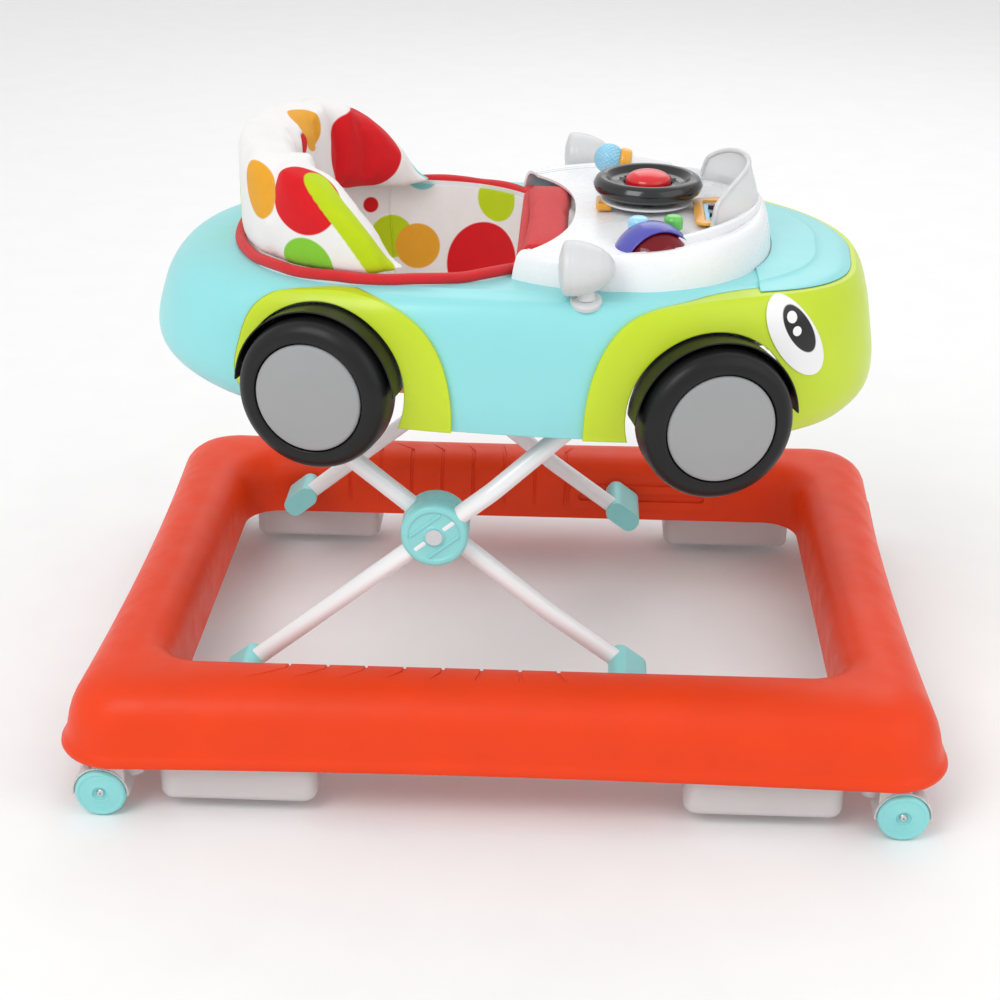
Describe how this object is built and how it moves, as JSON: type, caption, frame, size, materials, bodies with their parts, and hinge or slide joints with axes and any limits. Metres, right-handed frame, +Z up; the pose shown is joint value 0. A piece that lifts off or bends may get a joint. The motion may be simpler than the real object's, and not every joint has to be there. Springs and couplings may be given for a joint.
{
  "type": "baby walker",
  "caption": "Car-shaped baby walker: a moulded ring on swivel casters, a bent-tube scissor frame and a car body with a sling seat and a toy dashboard.",
  "frame": {"origin": "on the floor under the middle of the base ring", "axes": "+X to the front of the car, +Y to its left, +Z up"},
  "size_m": [0.75, 0.608, 0.5253],
  "materials": {
    "ring_orange": "satin moulded",
    "clear_white": "milky, slightly see-through",
    "teal": "satin moulded",
    "tube_white": "gloss powder coat",
    "pin_steel": "plain",
    "body_aqua": "satin moulded",
    "panel_lime": "satin moulded",
    "wheel_black": "satin moulded",
    "hubcap_grey": "fine grained",
    "dash_white": "gloss moulded",
    "screen_milky": "milky, see-through",
    "toy_black": "gloss moulded",
    "toy_red": "gloss moulded",
    "dome_red": "clear tinted",
    "toy_purple": "gloss moulded",
    "toy_blue": "gloss moulded",
    "toy_green": "gloss moulded",
    "toy_orange": "gloss moulded",
    "mirror_grey": "satin moulded",
    "chassis_white": "plain moulded",
    "eye_white": "printed plate",
    "seat_fabric": "printed woven cotton with large dots",
    "trim_red": "woven binding"
  },
  "bodies": {
    "base": {"base_ring": "ring_orange", "slot_guides": "ring_orange", "stopper_blocks_left": "clear_white", "stopper_blocks_right": "clear_white", "end_stoppers": "clear_white", "caster_sockets": "chassis_white"},
    "outer_legs": {"outer_leg_tube": "tube_white", "outer_leg_feet": "teal", "outer_leg_pins": "pin_steel", "outer_hub_discs": "teal", "hub_rivets": "pin_steel"},
    "inner_legs": {"inner_leg_tube": "tube_white", "inner_leg_feet": "teal", "inner_leg_pins": "pin_steel", "inner_hub_discs": "teal"},
    "car": {"body_shell": "body_aqua", "rear_fender_left": "panel_lime", "rear_fender_right": "panel_lime", "front_clip": "panel_lime", "hood_panel": "body_aqua", "eye_inserts": "eye_white", "chassis_tray": "chassis_white", "rear_pivot_brackets": "chassis_white", "front_slide_brackets": "chassis_white", "wheel_stubs": "chassis_white", "console": "dash_white", "windscreen": "screen_milky", "steering_column": "toy_black", "toy_dome": "dome_red", "toy_cap": "toy_purple", "picture_frame": "toy_orange", "microphone": "toy_blue", "mirror_stalks": "mirror_grey", "seat_ring": "chassis_white", "seat_sling": "seat_fabric", "back_cushion": "seat_fabric", "front_pad": "trim_red"},
    "steering": {"steering_wheel": "toy_black"},
    "horn": {"horn_button": "toy_red"},
    "blue_key": {"blue_button": "toy_blue"},
    "green_key": {"green_button": "toy_green"},
    "mirror_left": {"mirror_head_left": "mirror_grey"},
    "mirror_right": {"mirror_head_right": "mirror_grey"},
    "caster_front_left": {"caster_fork_front_left": "clear_white"},
    "caster_roller_front_left": {"caster_wheel_front_left": "teal"},
    "wheel_front_left": {"tyre_front_left": "wheel_black", "hubcap_front_left": "hubcap_grey"},
    "caster_front_right": {"caster_fork_front_right": "clear_white"},
    "caster_roller_front_right": {"caster_wheel_front_right": "teal"},
    "wheel_front_right": {"tyre_front_right": "wheel_black", "hubcap_front_right": "hubcap_grey"},
    "caster_rear_left": {"caster_fork_rear_left": "clear_white"},
    "caster_roller_rear_left": {"caster_wheel_rear_left": "teal"},
    "wheel_rear_left": {"tyre_rear_left": "wheel_black", "hubcap_rear_left": "hubcap_grey"},
    "caster_rear_right": {"caster_fork_rear_right": "clear_white"},
    "caster_roller_rear_right": {"caster_wheel_rear_right": "teal"},
    "wheel_rear_right": {"tyre_rear_right": "wheel_black", "hubcap_rear_right": "hubcap_grey"}
  },
  "joints": [
    {"name": "fold", "type": "hinge", "parent": "base", "child": "outer_legs", "pos_m": [-0.235, 0, 0.076], "axis": [0, 1, 0], "range_deg": [-9, 21]},
    {"name": "hub", "type": "hinge", "parent": "outer_legs", "child": "inner_legs", "pos_m": [-0.061, 0, 0.215], "axis": [0, 1, 0], "range_deg": [-42, 18]},
    {"name": "car_pivot", "type": "hinge", "parent": "inner_legs", "child": "car", "pos_m": [-0.235, 0, 0.354], "axis": [0, 1, 0], "range_deg": [-9, 21]},
    {"name": "swivel_front_left", "type": "hinge", "parent": "base", "child": "caster_front_left", "pos_m": [0.325, 0.285, 0.05], "axis": [0, 0, 1], "continuous": true},
    {"name": "roll_front_left", "type": "hinge", "parent": "caster_front_left", "child": "caster_roller_front_left", "pos_m": [0.335, 0.2895, 0.0217], "axis": [0, 1, 0], "continuous": true},
    {"name": "spin_front_left", "type": "hinge", "parent": "car", "child": "wheel_front_left", "pos_m": [0.1739, 0.21, 0.3291], "axis": [0.2588, 0.9659, 0], "continuous": true},
    {"name": "swivel_front_right", "type": "hinge", "parent": "base", "child": "caster_front_right", "pos_m": [0.325, -0.285, 0.05], "axis": [0, 0, 1], "continuous": true},
    {"name": "roll_front_right", "type": "hinge", "parent": "caster_front_right", "child": "caster_roller_front_right", "pos_m": [0.335, -0.2895, 0.0217], "axis": [0, 1, 0], "continuous": true},
    {"name": "spin_front_right", "type": "hinge", "parent": "car", "child": "wheel_front_right", "pos_m": [0.1739, -0.21, 0.3291], "axis": [0.2588, -0.9659, 0], "continuous": true},
    {"name": "swivel_rear_left", "type": "hinge", "parent": "base", "child": "caster_rear_left", "pos_m": [-0.325, 0.285, 0.05], "axis": [0, 0, 1], "continuous": true},
    {"name": "roll_rear_left", "type": "hinge", "parent": "caster_rear_left", "child": "caster_roller_rear_left", "pos_m": [-0.335, 0.2895, 0.0217], "axis": [0, 1, 0], "continuous": true},
    {"name": "spin_rear_left", "type": "hinge", "parent": "car", "child": "wheel_rear_left", "pos_m": [-0.1607, 0.21, 0.3476], "axis": [-0.2588, 0.9659, 0], "continuous": true},
    {"name": "swivel_rear_right", "type": "hinge", "parent": "base", "child": "caster_rear_right", "pos_m": [-0.325, -0.285, 0.05], "axis": [0, 0, 1], "continuous": true},
    {"name": "roll_rear_right", "type": "hinge", "parent": "caster_rear_right", "child": "caster_roller_rear_right", "pos_m": [-0.335, -0.2895, 0.0217], "axis": [0, 1, 0], "continuous": true},
    {"name": "spin_rear_right", "type": "hinge", "parent": "car", "child": "wheel_rear_right", "pos_m": [-0.1607, -0.21, 0.3476], "axis": [-0.2588, -0.9659, 0], "continuous": true},
    {"name": "steer", "type": "hinge", "parent": "car", "child": "steering", "pos_m": [0.114, 0, 0.473], "axis": [0, 0, 1], "range_deg": [-90, 90]},
    {"name": "horn_press", "type": "slide", "parent": "steering", "child": "horn", "axis": [0, 0, -1], "range_m": [0, 0.003], "stiffness_N_per_m": 300, "springref_m": -0.003},
    {"name": "blue_press", "type": "slide", "parent": "car", "child": "blue_key", "axis": [0, 0, -1], "range_m": [0, 0.0015], "stiffness_N_per_m": 300, "springref_m": -0.002},
    {"name": "green_press", "type": "slide", "parent": "car", "child": "green_key", "axis": [0, 0, -1], "range_m": [0, 0.0015], "stiffness_N_per_m": 300, "springref_m": -0.002},
    {"name": "mirror_turn_left", "type": "hinge", "parent": "car", "child": "mirror_left", "pos_m": [0.062, 0.1755, 0.451], "axis": [0, 0, 1], "range_deg": [-20, 20]},
    {"name": "mirror_turn_right", "type": "hinge", "parent": "car", "child": "mirror_right", "pos_m": [0.062, -0.1755, 0.451], "axis": [0, 0, 1], "range_deg": [-20, 20]}
  ],
  "couplings": [
    {"joint": "hub", "follows": "fold", "ratio": -2},
    {"joint": "car_pivot", "follows": "fold", "ratio": 1}
  ]
}
